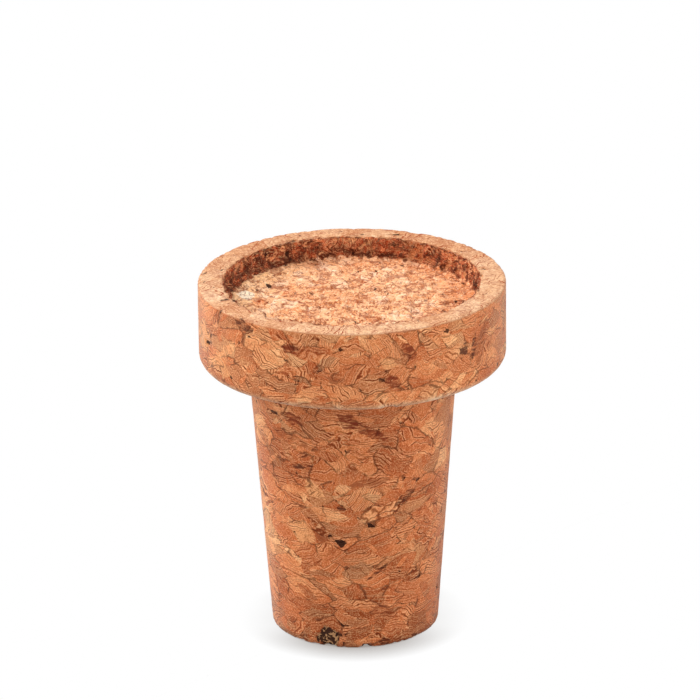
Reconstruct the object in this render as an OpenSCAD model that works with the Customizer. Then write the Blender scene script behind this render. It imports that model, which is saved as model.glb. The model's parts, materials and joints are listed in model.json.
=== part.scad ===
// Cork stopper, turned from one piece of pressed cork granules.
// A wide head with a shallow round recess in its top face sits on a tapered plug that goes
// into a bottle's neck. The foot of the plug stands on the origin and the axis is +Z.

/* [Head] */
// Diameter of the head
head_d = 30; // [26:0.5:40]
// Height of the head, from its underside to its top face
head_h = 8; // [5:0.5:14]
// Radius of the head's top outer edge
head_top_round = 0.2; // [0.1:0.05:0.8]
// Radius of the head's lower outer edge
head_low_round = 0.9; // [0.2:0.05:2]

/* [Recess] */
// Width of the flat rim around the recess
rim_w = 2.6; // [1.5:0.1:5]
// Depth of the recess, from the rim to its floor
recess_depth = 2.3; // [1.2:0.1:5]
// Radius of the edge at the recess's mouth
mouth_round = 0.15; // [0.05:0.05:0.6]
// Radius of the cove between the recess's wall and its floor
recess_cove = 0.5; // [0.1:0.05:0.9]

/* [Plug] */
// Diameter of the plug where it meets the head
plug_top_d = 20.5; // [17:0.1:24]
// Diameter of the plug at its foot
plug_foot_d = 16.4; // [12:0.1:20]
// Length of the plug, from its foot to the head's underside
plug_len = 27.5; // [15:0.5:45]
// Radius of the fillet between the plug and the head's underside
shoulder_fillet = 0.4; // [0.1:0.05:1.5]
// Radius of the edge around the plug's foot
foot_round = 0.25; // [0.1:0.05:2]

/* [Hidden] */
$fa = 3;
$fs = 0.1;

cork_colour = [0.76, 0.50, 0.33];

head_r = head_d / 2;
recess_r = head_r - rim_w;
plug_top_r = plug_top_d / 2;
plug_foot_r = plug_foot_d / 2;
stopper_h = plug_len + head_h;
recess_floor_z = stopper_h - recess_depth;

// Half of the stopper's section with sharp corners, as radius and height
outline = [
    [0, 0],
    [plug_foot_r, 0],
    [plug_top_r, plug_len],
    [head_r, plug_len],
    [head_r, stopper_h],
    [recess_r, stopper_h],
    [recess_r, recess_floor_z],
    [0, recess_floor_z]
];

// Places of the corners in that outline
FOOT_EDGE = 1;
SHOULDER = 2;
HEAD_LOW_EDGE = 3;
HEAD_TOP_EDGE = 4;
RECESS_MOUTH = 5;
RECESS_CORNER = 6;

function unit(v) = v / norm(v);

// The sliver between a corner of the outline and the arc that is tangent to both its edges
module corner_sliver(i, radius) {
    corner = outline[i];
    u = unit(outline[i - 1] - corner);
    v = unit(outline[i + 1] - corner);
    half_angle = acos(u * v) / 2;
    run = radius / tan(half_angle);
    centre = corner + unit(u + v) * radius / sin(half_angle);
    difference() {
        polygon([corner, corner + u * run, centre, corner + v * run]);
        translate(centre) circle(r = radius);
    }
}

// The section as it is turned: inner corners filled, outer edges rounded off
module turned_section() {
    difference() {
        union() {
            polygon(outline);
            corner_sliver(SHOULDER, shoulder_fillet);
            corner_sliver(RECESS_CORNER, recess_cove);
        }
        corner_sliver(FOOT_EDGE, foot_round);
        corner_sliver(HEAD_LOW_EDGE, head_low_round);
        corner_sliver(HEAD_TOP_EDGE, head_top_round);
        corner_sliver(RECESS_MOUTH, mouth_round);
    }
}

// The whole stopper, head and plug in one piece
module stopper() {
    color(cork_colour) rotate_extrude() turned_section();
}

stopper();
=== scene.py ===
"""A cork stopper, turned from pressed granules, standing in a plain white light tent."""

import json
import logging
import math
from dataclasses import dataclass, field
from enum import Enum
from functools import cached_property
from typing import Any, Mapping, Sequence, Union

import bmesh
import bpy
from mathutils import Euler, Matrix, Vector


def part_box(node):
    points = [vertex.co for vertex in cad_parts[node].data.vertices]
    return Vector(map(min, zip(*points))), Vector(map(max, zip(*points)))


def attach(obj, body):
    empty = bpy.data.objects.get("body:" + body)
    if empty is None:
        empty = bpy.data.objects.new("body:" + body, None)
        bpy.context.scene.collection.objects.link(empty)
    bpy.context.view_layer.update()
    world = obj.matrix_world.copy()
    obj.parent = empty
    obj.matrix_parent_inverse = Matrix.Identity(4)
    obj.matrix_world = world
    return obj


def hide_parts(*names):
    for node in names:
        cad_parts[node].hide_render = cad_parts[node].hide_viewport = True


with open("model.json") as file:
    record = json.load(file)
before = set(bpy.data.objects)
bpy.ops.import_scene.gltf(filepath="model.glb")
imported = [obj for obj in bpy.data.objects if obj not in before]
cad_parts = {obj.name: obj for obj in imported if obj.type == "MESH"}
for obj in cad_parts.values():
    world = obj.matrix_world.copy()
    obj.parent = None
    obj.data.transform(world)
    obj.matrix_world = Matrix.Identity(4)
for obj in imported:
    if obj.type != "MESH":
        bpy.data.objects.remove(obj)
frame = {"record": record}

LOG = logging.getLogger("stopper")
MM = 0.001
IMAGE_SIDE = 700

Triple = tuple[float, float, float]
Colour = tuple[float, float, float, float]
Stops = tuple[tuple[float, Colour], ...]
Operand = Union["Field", float, Sequence[float]]

UP: Triple = (0.0, 0.0, 1.0)
LEVEL: Triple = (1.0, 1.0, 0.0)
WHITE: Colour = (1.0, 1.0, 1.0, 1.0)


def srgb(red: int, green: int, blue: int) -> Colour:
    """Turn a colour as a paint chart gives it into linear light.

    Args:
        red: Red from 0 to 255.
        green: Green from 0 to 255.
        blue: Blue from 0 to 255.

    Returns:
        The linear colour with full alpha.
    """
    def linear(level: int) -> float:
        """Linear light of one channel."""
        share = level / 255
        return share / 12.92 if share <= 0.04045 else ((share + 0.055) / 1.055) ** 2.4

    return (linear(red), linear(green), linear(blue), 1.0)


@dataclass(frozen=True)
class Step:
    """A smooth step: the value at which it is 0, and the one at which it is 1."""

    zero: float
    one: float

    def at(self, base: float) -> "Step":
        """The same step, counted from a base."""
        return Step(base + self.zero, base + self.one)


@dataclass(frozen=True)
class Cloud:
    """Cloudy noise: its scale, the finer octaves in it, and how strong those are."""

    scale: float
    detail: float = 0.0
    rough: float = 0.5


class Field:
    """A number or vector that flows through a node tree and takes Python's arithmetic."""

    def __init__(self, sheet: "NodeSheet", socket: bpy.types.NodeSocket) -> None:
        """Wrap one output socket of a node on that sheet."""
        self.sheet = sheet
        self.socket = socket

    @property
    def is_vector(self) -> bool:
        """Whether it has three components."""
        return self.socket.type in {"VECTOR", "RGBA"}

    def __add__(self, other: Operand) -> "Field":
        """Sum."""
        return self.sheet.arithmetic("ADD", self, other)

    def __radd__(self, other: Operand) -> "Field":
        """Sum, from the right."""
        return self.sheet.arithmetic("ADD", other, self)

    def __sub__(self, other: Operand) -> "Field":
        """Difference."""
        return self.sheet.arithmetic("SUBTRACT", self, other)

    def __rsub__(self, other: Operand) -> "Field":
        """Difference, from the right."""
        return self.sheet.arithmetic("SUBTRACT", other, self)

    def __mul__(self, other: Operand) -> "Field":
        """Product."""
        return self.sheet.arithmetic("MULTIPLY", self, other)

    def __rmul__(self, other: Operand) -> "Field":
        """Product, from the right."""
        return self.sheet.arithmetic("MULTIPLY", other, self)

    def __truediv__(self, other: Operand) -> "Field":
        """Quotient."""
        return self.sheet.arithmetic("DIVIDE", self, other)

    def __rtruediv__(self, other: Operand) -> "Field":
        """Quotient, from the right."""
        return self.sheet.arithmetic("DIVIDE", other, self)


class NodeSheet:
    """A node tree that is written as expressions."""

    def __init__(self, tree: bpy.types.NodeTree) -> None:
        """Start on an empty tree."""
        self.tree = tree
        self.tree.nodes.clear()

    def node(
        self,
        kind: str,
        settings: Mapping[str, Any] | None = None,
        sockets: Mapping[str | int, Any] | None = None,
    ) -> bpy.types.Node:
        """Add one node.

        Args:
            kind: The node's type.
            settings: Its own properties, which are set first.
            sockets: Values or links of its inputs, by name or place.

        Returns:
            The new node.
        """
        made = self.tree.nodes.new(kind)
        for name, value in (settings or {}).items():
            setattr(made, name, value)
        for key, value in (sockets or {}).items():
            if isinstance(value, Field):
                self.tree.links.new(value.socket, made.inputs[key])
            else:
                made.inputs[key].default_value = value
        return made

    def out(self, made: bpy.types.Node, key: str | int = 0) -> Field:
        """One output of a node as a field."""
        return Field(self, made.outputs[key])

    @staticmethod
    def wide(value: Operand) -> bool:
        """Whether an operand has three components."""
        return value.is_vector if isinstance(value, Field) else not isinstance(value, (int, float))

    def arithmetic(self, operation: str, first: Operand, second: Operand) -> Field:
        """Add the node for one of the four rules of arithmetic.

        Args:
            operation: ADD, SUBTRACT, MULTIPLY or DIVIDE.
            first: Left operand.
            second: Right operand.

        Returns:
            The result, a vector where either operand is one.
        """
        if not (self.wide(first) or self.wide(second)):
            return self.maths(operation, first, second)
        if operation == "MULTIPLY" and self.wide(first) != self.wide(second):
            vector, number = (first, second) if self.wide(first) else (second, first)
            return self.vector("SCALE", vector, scale=number)
        spread = [v if isinstance(v, Field) or self.wide(v) else (v, v, v) for v in (first, second)]
        return self.vector(operation, *spread)

    def maths(self, operation: str, *operands: Operand) -> Field:
        """A Math node on numbers."""
        return self.out(self.node("ShaderNodeMath", {"operation": operation}, dict(enumerate(operands))))

    def vector(self, operation: str, *operands: Operand, scale: Operand | None = None) -> Field:
        """A Vector Math node.

        Args:
            operation: The node's operation.
            *operands: Its vectors, in order.
            scale: The number that SCALE multiplies by.

        Returns:
            A vector, or a number for a dot product.
        """
        sockets: dict[str | int, Any] = dict(enumerate(operands))
        if scale is not None:
            sockets["Scale"] = scale
        made = self.node("ShaderNodeVectorMath", {"operation": operation}, sockets)
        return self.out(made, "Value" if operation == "DOT_PRODUCT" else "Vector")

    def split(self, vector: Field) -> tuple[Field, Field, Field]:
        """The three components of a vector."""
        made = self.node("ShaderNodeSeparateXYZ", None, {0: vector})
        return self.out(made, 0), self.out(made, 1), self.out(made, 2)

    def join(self, x: Operand, y: Operand, z: Operand) -> Field:
        """A vector of three numbers."""
        return self.out(self.node("ShaderNodeCombineXYZ", None, {0: x, 1: y, 2: z}))

    def ramp(self, value: Field, step: Step) -> Field:
        """Where a number lies on a smooth step.

        Args:
            value: The number to read.
            step: Where the result is 0 and where it is 1.

        Returns:
            A number from 0 to 1.
        """
        low, high = sorted((step.zero, step.one))
        at_low, at_high = (0.0, 1.0) if step.zero < step.one else (1.0, 0.0)
        sockets = {"Value": value, "From Min": low, "From Max": high, "To Min": at_low, "To Max": at_high}
        return self.out(self.node("ShaderNodeMapRange", {"interpolation_type": "SMOOTHSTEP"}, sockets))

    def blend(self, share: Operand, first: Operand, second: Operand) -> Field:
        """A number between two numbers."""
        return self.out(self.node("ShaderNodeMix", {"data_type": "FLOAT"}, {0: share, 2: first, 3: second}))

    def tint(self, share: Operand, first: Operand, second: Operand) -> Field:
        """A colour between two colours."""
        return self.out(self.node("ShaderNodeMix", {"data_type": "RGBA"}, {0: share, 6: first, 7: second}), 2)

    def shades(self, tone: Field, stops: Stops) -> Field:
        """Look a tone up on a row of colours.

        Args:
            tone: A number from 0 to 1.
            stops: The colours and where they stand.

        Returns:
            The colour of that tone.
        """
        made = self.node("ShaderNodeValToRGB", None, {0: tone})
        band = made.color_ramp
        while len(band.elements) < len(stops):
            band.elements.new(1.0)
        for element, (at, colour) in zip(band.elements, stops):
            element.position = at
            element.color = colour
        return self.out(made)

    def puffs(self, place: Field, cloud: Cloud) -> bpy.types.Node:
        """A Noise node in space."""
        sockets = {"Vector": place, "Scale": cloud.scale, "Detail": cloud.detail, "Roughness": cloud.rough}
        return self.node("ShaderNodeTexNoise", {"noise_dimensions": "3D"}, sockets)

    def noise(self, place: Field, cloud: Cloud) -> Field:
        """Cloudy noise from 0 to 1."""
        return self.out(self.puffs(place, cloud))

    def swirl(self, place: Field, cloud: Cloud) -> Field:
        """Cloudy noise with three components, centred on 0."""
        return self.out(self.puffs(place, cloud), 1) - 0.5

    def string_noise(self, along: Field) -> Field:
        """Noise along one number, centred on 0."""
        sockets = {"W": along, "Scale": 1.0, "Detail": 1.0}
        return self.out(self.node("ShaderNodeTexNoise", {"noise_dimensions": "1D"}, sockets)) - 0.5

    def cells(self, place: Field, feature: str = "F1") -> bpy.types.Node:
        """A Voronoi node with one cell per unit of space."""
        return self.node("ShaderNodeTexVoronoi", {"feature": feature}, {"Vector": place, "Scale": 1.0})

    def dice(self, place: Field) -> tuple[Field, Field, Field]:
        """Three numbers from 0 to 1 that are drawn again wherever the place differs."""
        made = self.node("ShaderNodeTexWhiteNoise", {"noise_dimensions": "3D"}, {"Vector": place})
        return self.split(self.out(made, "Color"))

    def chance(self, number: Field) -> Field:
        """A number from 0 to 1 that is drawn again wherever the given number differs."""
        return self.out(self.node("ShaderNodeTexWhiteNoise", {"noise_dimensions": "1D"}, {"W": number}))


@dataclass(frozen=True)
class StopperSizes:
    """The stopper's turned section, in millimetres."""

    head_r: float
    top_z: float
    recess_r: float
    shoulder_z: float
    recess_depth: float = 2.3
    plug_top_r: float = 10.25
    plug_foot_r: float = 8.2
    foot_round: float = 0.25
    shoulder_fillet: float = 0.4
    head_low_round: float = 0.9
    head_top_round: float = 0.2
    mouth_round: float = 0.15
    recess_cove: float = 0.5

    @classmethod
    def from_frame(cls) -> "StopperSizes":
        """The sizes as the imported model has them.

        Returns:
            Sizes taken from the model's box and its mounts.
        """
        low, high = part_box("stopper")
        mounts = {mount["name"]: mount for mount in frame["record"]["mounts"]}
        return cls(
            head_r=round((high[0] - low[0]) / 2 / MM, 2),
            top_z=round(high[2] / MM, 2),
            recess_r=mounts["recess"]["dims"]["r_mm"],
            shoulder_z=mounts["shoulder"]["pos_m"][2] / MM,
        )

    @property
    def floor_z(self) -> float:
        """Height of the recess's floor."""
        return self.top_z - self.recess_depth

    def side_r(self, z: float) -> float:
        """Radius of the outer side.

        Args:
            z: Height above the foot.

        Returns:
            The head's radius, or the tapered plug's at that height.
        """
        if z >= self.shoulder_z:
            return self.head_r
        return self.plug_foot_r + (self.plug_top_r - self.plug_foot_r) * z / self.shoulder_z


@dataclass(frozen=True)
class FaceZones:
    """Where one face passes into the next, in millimetres from the turned edges or the axis."""

    mouth: Step = Step(0.24, 0.10)
    mouth_fray: Cloud = Cloud(1.4, 2.0)
    mouth_fray_reach: float = 0.5
    well: Step = Step(-0.9, -0.6)
    ring: Step = Step(-2.1, -0.4)
    bank_side: Step = Step(-4.0, -10.0)
    bank_height: Step = Step(1.1, 0.3)
    wall_foot: Step = Step(-0.06, 0.22)
    wall_foot_slant: float = 0.8
    wall_foot_bank: float = 0.5
    wall_foot_fray: Cloud = Cloud(1.2, 2.0)
    wall_foot_fray_reach: float = 2.2
    top: Step = Step(-0.22, -0.08)
    skirt: Step = Step(-4.5, -1.0)
    left: Step = Step(-3.0, -9.0)
    right: Step = Step(3.0, 9.0)
    far: Step = Step(2.0, 12.0)
    low: Step = Step(11.0, 2.0)
    nook_rise: float = 0.6
    nook_reach: float = 0.9
    low_edge_inset: float = 0.35
    low_edge_reach: float = 0.75
    foot_edge_reach: float = 0.8
    mouth_edge_reach: float = 0.7
    rim_edge_reach: float = 0.6
    edge_core: float = 0.15


class Places:
    """Numbers from 0 to 1 that say which face a place is on, each written when it is first read."""

    def __init__(self, sheet: NodeSheet, place: Field, sizes: StopperSizes, zones: FaceZones) -> None:
        """Start from a place.

        Args:
            sheet: The node tree to write on.
            place: The place in millimetres.
            sizes: The stopper's sizes.
            zones: Where its faces meet.
        """
        self.sheet = sheet
        self.place = place
        self.sizes = sizes
        self.zones = zones
        self.x, self.y, self.z = sheet.split(place)
        self.r = sheet.maths("SQRT", self.x * self.x + self.y * self.y)

    def near(self, r: float, z: float, reach: float) -> Field:
        """1 on a turned edge, fading to 0 away from it.

        Args:
            r: The edge's radius.
            z: The edge's height.
            reach: How far from the edge it fades out.

        Returns:
            The closeness to that edge.
        """
        across, up = self.r - r, self.z - z
        away = self.sheet.maths("SQRT", across * across + up * up)
        return self.sheet.ramp(away, Step(reach, reach * self.zones.edge_core))

    @cached_property
    def well(self) -> Field:
        """The whole recess, up to its frayed mouth.

        Returns:
            1 inside the recess.
        """
        zones, sheet = self.zones, self.sheet
        fray = (sheet.noise(self.place, zones.mouth_fray) - 0.5) * zones.mouth_fray_reach
        inside = sheet.ramp(self.r + fray, zones.mouth.at(self.sizes.recess_r))
        return inside * sheet.ramp(self.z, zones.well.at(self.sizes.floor_z))

    @cached_property
    def ring(self) -> Field:
        """The outer ring of the recess's floor, and all beyond it."""
        return self.sheet.ramp(self.r, self.zones.ring.at(self.sizes.recess_r))

    @cached_property
    def bank(self) -> Field:
        """The crumbs that are heaped against the wall on the left.

        Returns:
            1 on the heap.
        """
        side = self.sheet.ramp(self.x, self.zones.bank_side)
        height = self.sheet.ramp(self.z, self.zones.bank_height.at(self.sizes.floor_z))
        return self.ring * side * height * self.well

    @cached_property
    def risen(self) -> Field:
        """How far a place has climbed from the recess's floor to its wall.

        Returns:
            0 on the floor and 1 on the wall, which meet along a ragged line.
        """
        zones, sheet = self.zones, self.sheet
        ragged = (sheet.noise(self.place, zones.wall_foot_fray) - 0.5) * self.ring
        climb = self.z + (self.r - self.sizes.recess_r) * zones.wall_foot_slant
        climb = climb + self.bank * zones.wall_foot_bank + ragged * zones.wall_foot_fray_reach
        return sheet.ramp(climb, zones.wall_foot.at(self.sizes.floor_z))

    @cached_property
    def top(self) -> Field:
        """The sawn rim."""
        return self.sheet.ramp(self.z, self.zones.top.at(self.sizes.top_z)) * (1.0 - self.well)

    @cached_property
    def floor(self) -> Field:
        """The recess's floor."""
        return self.well * (1.0 - self.risen)

    @cached_property
    def wall(self) -> Field:
        """The recess's wall."""
        return self.well * self.risen

    @cached_property
    def flat(self) -> Field:
        """Both faces that look up."""
        return self.top + self.floor

    @cached_property
    def torn(self) -> Field:
        """Both faces that are torn instead of cut."""
        return self.floor + self.wall

    @cached_property
    def facing(self) -> Field:
        """Direction out of the face: up on the flat ones, away from the axis elsewhere."""
        outward = self.sheet.vector("NORMALIZE", self.sheet.vector("MULTIPLY", self.place, LEVEL))
        return self.sheet.tint(self.flat, outward, (*UP, 1.0))

    @cached_property
    def skirt(self) -> Field:
        """The part of the recess's floor that lies towards the wall."""
        return self.sheet.ramp(self.r, self.zones.skirt.at(self.sizes.recess_r))

    @cached_property
    def left(self) -> Field:
        """The left side."""
        return self.sheet.ramp(self.x, self.zones.left)

    @cached_property
    def right(self) -> Field:
        """The right side."""
        return self.sheet.ramp(self.x, self.zones.right)

    @cached_property
    def far(self) -> Field:
        """The far side."""
        return self.sheet.ramp(self.y, self.zones.far)

    @cached_property
    def low(self) -> Field:
        """The plug's lower end."""
        return self.sheet.ramp(self.z, self.zones.low)

    @cached_property
    def nook(self) -> Field:
        """The corner between the recess's wall and its floor."""
        rise = self.sizes.floor_z + self.zones.nook_rise
        return self.well * self.near(self.sizes.recess_r, rise, self.zones.nook_reach)

    @cached_property
    def low_edge(self) -> Field:
        """The head's rounded lower edge."""
        s, inset = self.sizes, self.zones.low_edge_inset
        return self.near(s.head_r - inset, s.shoulder_z + inset, self.zones.low_edge_reach)

    @cached_property
    def foot_edge(self) -> Field:
        """The edge round the plug's foot."""
        return self.near(self.sizes.plug_foot_r, 0.0, self.zones.foot_edge_reach)

    @cached_property
    def mouth_edge(self) -> Field:
        """The edge at the recess's mouth."""
        return self.near(self.sizes.recess_r, self.sizes.top_z, self.zones.mouth_edge_reach)

    @cached_property
    def rim_edge(self) -> Field:
        """The head's top outer edge."""
        return self.near(self.sizes.head_r, self.sizes.top_z, self.zones.rim_edge_reach)


@dataclass(frozen=True)
class ByFace:
    """A number for each face: the cut sides, the rim, the recess's floor and its wall."""

    side: float
    top: float
    floor: float
    wall: float | None = None

    def over(self, where: Places) -> Field:
        """The number at a place.

        Args:
            where: The faces at the place.

        Returns:
            A number that passes from face to face. The wall has the sides' number unless it has its own.
        """
        total = where.top * (self.top - self.side) + where.floor * (self.floor - self.side) + self.side
        if self.wall is None:
            return total
        return total + where.wall * (self.wall - self.side)


class Face(Enum):
    """A face of the stopper that marks lie on."""

    SIDE = "side"
    RIM = "rim"
    FLOOR = "floor"


class MarkLayer(Enum):
    """What a mark's colour lies over."""

    GRAIN = "grain"
    DUST = "dust"
    LINES = "lines"


@dataclass(frozen=True)
class MarkLook:
    """Colour of a mark, how far it covers what it lies over, and how deep it is in millimetres."""

    colour: Colour
    cover: float
    layer: MarkLayer
    depth: float = 0.0
    ring: bool = False


class MarkKind(Enum):
    """Single pieces in the cork that stand out by themselves."""

    PIT = MarkLook(srgb(44, 22, 15), 0.95, MarkLayer.LINES, depth=0.30)
    BARK = MarkLook(srgb(40, 22, 15), 0.95, MarkLayer.LINES, depth=0.12)
    DARK = MarkLook(srgb(70, 32, 20), 0.90, MarkLayer.DUST)
    MAROON = MarkLook(srgb(112, 44, 24), 0.90, MarkLayer.DUST)
    BROWN = MarkLook(srgb(136, 72, 42), 0.70, MarkLayer.DUST)
    GREY = MarkLook(srgb(146, 96, 64), 0.70, MarkLayer.GRAIN)
    PALE = MarkLook(srgb(220, 152, 98), 0.70, MarkLayer.GRAIN)
    CREAM = MarkLook(srgb(255, 242, 216), 0.95, MarkLayer.GRAIN)
    RUST = MarkLook(srgb(214, 116, 56), 0.70, MarkLayer.GRAIN)
    OUTLINE = MarkLook(srgb(96, 46, 28), 0.75, MarkLayer.LINES, ring=True)


@dataclass(frozen=True)
class Mark:
    """One mark: degrees from the front to the right, and height or distance from the axis."""

    kind: MarkKind
    face: Face
    turn: float
    at: float
    length: float
    width: float
    tilt: float = 0.0

    def axes(self, sizes: StopperSizes) -> tuple[Vector, Vector, Vector, Vector]:
        """Where the mark lies.

        Args:
            sizes: The stopper's sizes.

        Returns:
            Its middle, and the directions along it, across it and out of the surface.
        """
        a, t = math.radians(self.turn), math.radians(self.tilt)
        round_way = Vector((math.cos(a), math.sin(a), 0.0))
        outward = Vector((math.sin(a), -math.cos(a), 0.0))
        upright = Vector(UP)
        if self.face is Face.SIDE:
            middle = outward * sizes.side_r(self.at) + upright * self.at
            rise, normal = upright, outward
        else:
            level = sizes.top_z if self.face is Face.RIM else sizes.floor_z
            middle = outward * self.at + upright * level
            rise, normal = -outward, upright
        along = round_way * math.cos(t) + rise * math.sin(t)
        across = rise * math.cos(t) - round_way * math.sin(t)
        return middle, along, across, normal


# Kind, face, turn, height or distance from the axis, length, width and tilt
MARKS: tuple[Mark, ...] = (
    Mark(MarkKind.BARK, Face.SIDE, -19, 0.9, 2.5, 2.7, 5),
    Mark(MarkKind.PIT, Face.SIDE, -9, 11.5, 1.5, 0.7, -8),
    Mark(MarkKind.MAROON, Face.SIDE, 7, 23.6, 6.4, 1.1, -30),
    Mark(MarkKind.MAROON, Face.SIDE, -3, 24.6, 2.4, 1.6, -32),
    Mark(MarkKind.PIT, Face.SIDE, 14, 27.6, 1.5, 0.6, 0),
    Mark(MarkKind.MAROON, Face.SIDE, -37, 24.2, 3.2, 1.3, -12),
    Mark(MarkKind.BROWN, Face.SIDE, -39, 22.1, 5.0, 1.3, -12),
    Mark(MarkKind.DARK, Face.SIDE, -22, 21.3, 0.9, 0.8, 8),
    Mark(MarkKind.DARK, Face.SIDE, -32, 19.3, 3.0, 0.6, 12),
    Mark(MarkKind.DARK, Face.SIDE, -8, 15.3, 0.9, 0.6, 5),
    Mark(MarkKind.PALE, Face.SIDE, -24, 17.0, 2.8, 1.6, -38),
    Mark(MarkKind.BROWN, Face.SIDE, 8, 17.9, 4.8, 1.1, 8),
    Mark(MarkKind.PIT, Face.SIDE, 10, 13.3, 1.0, 0.35, -26),
    Mark(MarkKind.DARK, Face.SIDE, 32, 15.8, 3.2, 1.0, 32),
    Mark(MarkKind.OUTLINE, Face.SIDE, 23, 13.7, 5.0, 2.0, -6),
    Mark(MarkKind.BROWN, Face.SIDE, -20, 11.9, 1.3, 1.4, 8),
    Mark(MarkKind.GREY, Face.SIDE, 2, 8.5, 3.6, 1.6, 14),
    Mark(MarkKind.DARK, Face.SIDE, 15, 8.3, 3.2, 0.35, 38),
    Mark(MarkKind.OUTLINE, Face.SIDE, 22, 5.3, 3.4, 2.2, 0),
    Mark(MarkKind.BROWN, Face.SIDE, 18, 3.9, 3.0, 1.3, -14),
    Mark(MarkKind.DARK, Face.SIDE, 21, 0.4, 1.3, 0.8, 0),
    Mark(MarkKind.PIT, Face.SIDE, 7, 0.2, 1.2, 0.5, 0),
    Mark(MarkKind.DARK, Face.SIDE, 44, 0.2, 1.3, 0.7, 0),
    Mark(MarkKind.MAROON, Face.SIDE, -22, 33.6, 2.9, 1.1, 3),
    Mark(MarkKind.DARK, Face.SIDE, -44, 34.9, 2.6, 1.2, -12),
    Mark(MarkKind.PIT, Face.SIDE, -69, 31.2, 1.4, 0.45, 10),
    Mark(MarkKind.GREY, Face.SIDE, -10, 32.4, 2.4, 1.0, 41),
    Mark(MarkKind.DARK, Face.SIDE, -13, 31.8, 1.1, 0.8, 41),
    Mark(MarkKind.BROWN, Face.SIDE, -6, 30.9, 1.9, 1.1, 7),
    Mark(MarkKind.DARK, Face.SIDE, 45, 32.0, 1.8, 0.9, 70),
    Mark(MarkKind.DARK, Face.SIDE, 51, 32.0, 2.8, 0.9, 80),
    Mark(MarkKind.BROWN, Face.SIDE, 55, 31.6, 4.4, 1.6, 75),
    Mark(MarkKind.PALE, Face.SIDE, -74, 31.4, 4.4, 3.0, 20),
    Mark(MarkKind.PALE, Face.SIDE, -58, 29.6, 3.6, 1.8, -12),
    Mark(MarkKind.PALE, Face.SIDE, -34, 12.2, 3.2, 2.6, -20),
    Mark(MarkKind.MAROON, Face.SIDE, 15, 30.4, 1.9, 1.1, -12),
    Mark(MarkKind.PALE, Face.SIDE, 13, 32.3, 2.0, 1.0, -14),
    Mark(MarkKind.MAROON, Face.SIDE, 21, 33.3, 2.4, 1.2, -49),
    Mark(MarkKind.CREAM, Face.FLOOR, -101, 10.5, 2.3, 1.7, 40),
    Mark(MarkKind.RUST, Face.FLOOR, -91, 9.0, 1.2, 1.0, 0),
    Mark(MarkKind.PIT, Face.FLOOR, -121, 9.5, 1.2, 0.4, 60),
    Mark(MarkKind.PIT, Face.FLOOR, 162, 9.3, 1.1, 0.4, 0),
    Mark(MarkKind.PIT, Face.FLOOR, 85, 7.7, 1.0, 0.4, 80),
    Mark(MarkKind.PIT, Face.RIM, 161, 13.7, 1.6, 0.55, 10),
    Mark(MarkKind.PIT, Face.RIM, -153, 12.9, 1.6, 0.45, 12),
)


@dataclass(frozen=True)
class MarkShape:
    """How the marks are drawn: reach and most_fray in millimetres, the other frays in shares of a width."""

    reach: float = 1.2
    stubby: float = 3.0
    stubby_fray: float = 0.9
    slim_fray: float = 0.4
    most_fray: float = 0.8
    edge: Step = Step(1.08, 0.88)
    ring: Step = Step(0.11, 0.03)
    ring_breaks: Step = Step(0.40, 0.52)


@dataclass(frozen=True)
class PitSet:
    """Small holes strewn between granules: their spacing and largest radius in millimetres."""

    spacing: float
    radius: float
    share: float
    shift: Triple
    smallest: float = 0.4
    raggedness: float = 2.2
    edge: Step = Step(1.0, 0.6)


@dataclass(frozen=True)
class FlakeLayer:
    """A layer of lens-shaped flakes that lie in the pressed cork, in millimetres."""

    cell: Triple
    thick: float
    reach: float
    tilt: float
    share: float
    shift: Triple
    raggedness: float = 0.9


@dataclass(frozen=True)
class GrowthLines:
    """Growth lines in a granule: their gap in millimetres, and widths in shares of it."""

    gap: float = 0.29
    shift: float = 60.0
    wander: float = 1.1
    wander_pace: float = 0.6
    fibre_pace: float = 3.1
    width: Step = Step(0.20, 0.04)
    flank_at: float = 0.30
    flank_width: Step = Step(0.14, 0.0)
    kept: Step = Step(0.0, 0.65)
    breaks: Step = Step(0.28, 0.44)
    boldness: Step = Step(0.0, 0.9)
    faintest: float = 0.5


@dataclass(frozen=True)
class CorkGrain:
    """How the granules are pressed together, with lengths in millimetres."""

    cell: Triple = (3.1, 3.1, 1.8)
    heading: Triple = (0.6, 0.6, 1.3)
    flattening: float = 0.9
    slow: Cloud = Cloud(0.14, 1.0)
    slow_bend: Triple = (3.0, 3.0, 4.5)
    wave: Cloud = Cloud(0.8, 2.0)
    wave_bend: float = 0.8
    flow: Cloud = Cloud(0.42)
    flow_bend: float = 1.3
    fray: Cloud = Cloud(2.2)
    fray_bend: float = 0.6
    patches: Cloud = Cloud(0.6, 1.0)
    holes: Cloud = Cloud(1.05, 1.0)
    streaks: Cloud = Cloud(1.0, 2.0, 0.6)
    streak_bend: float = 0.5
    streak_press: Triple = (0.9, 0.9, 4.2)
    streak_step: Step = Step(0.36, 0.60)
    streak_least: float = 0.2
    seam_edge: Step = Step(0.05, 0.01)
    seam_gap: Step = Step(0.13, 0.05)
    flake_edge: Step = Step(0.88, 0.97)
    flake_gap: Step = Step(0.80, 0.95)
    edge_patches: Step = Step(0.42, 0.56)
    gap_patches: Step = Step(0.67, 0.71)
    crumb: float = 1.15
    fine_crumb: float = 0.42
    crumb_bend: float = 0.6
    crumb_gap: Step = Step(0.16, 0.03)
    lines: GrowthLines = GrowthLines()
    mark_shape: MarkShape = MarkShape()
    layers: tuple[FlakeLayer, ...] = (
        FlakeLayer((4.6, 4.6, 2.2), thick=1.0, reach=3.0, tilt=1.2, share=0.75, shift=(11.3, 4.7, 8.1)),
        FlakeLayer((3.0, 3.0, 1.4), thick=0.5, reach=2.0, tilt=1.5, share=0.60, shift=(23.4, 9.8, 2.2)),
    )


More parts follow.
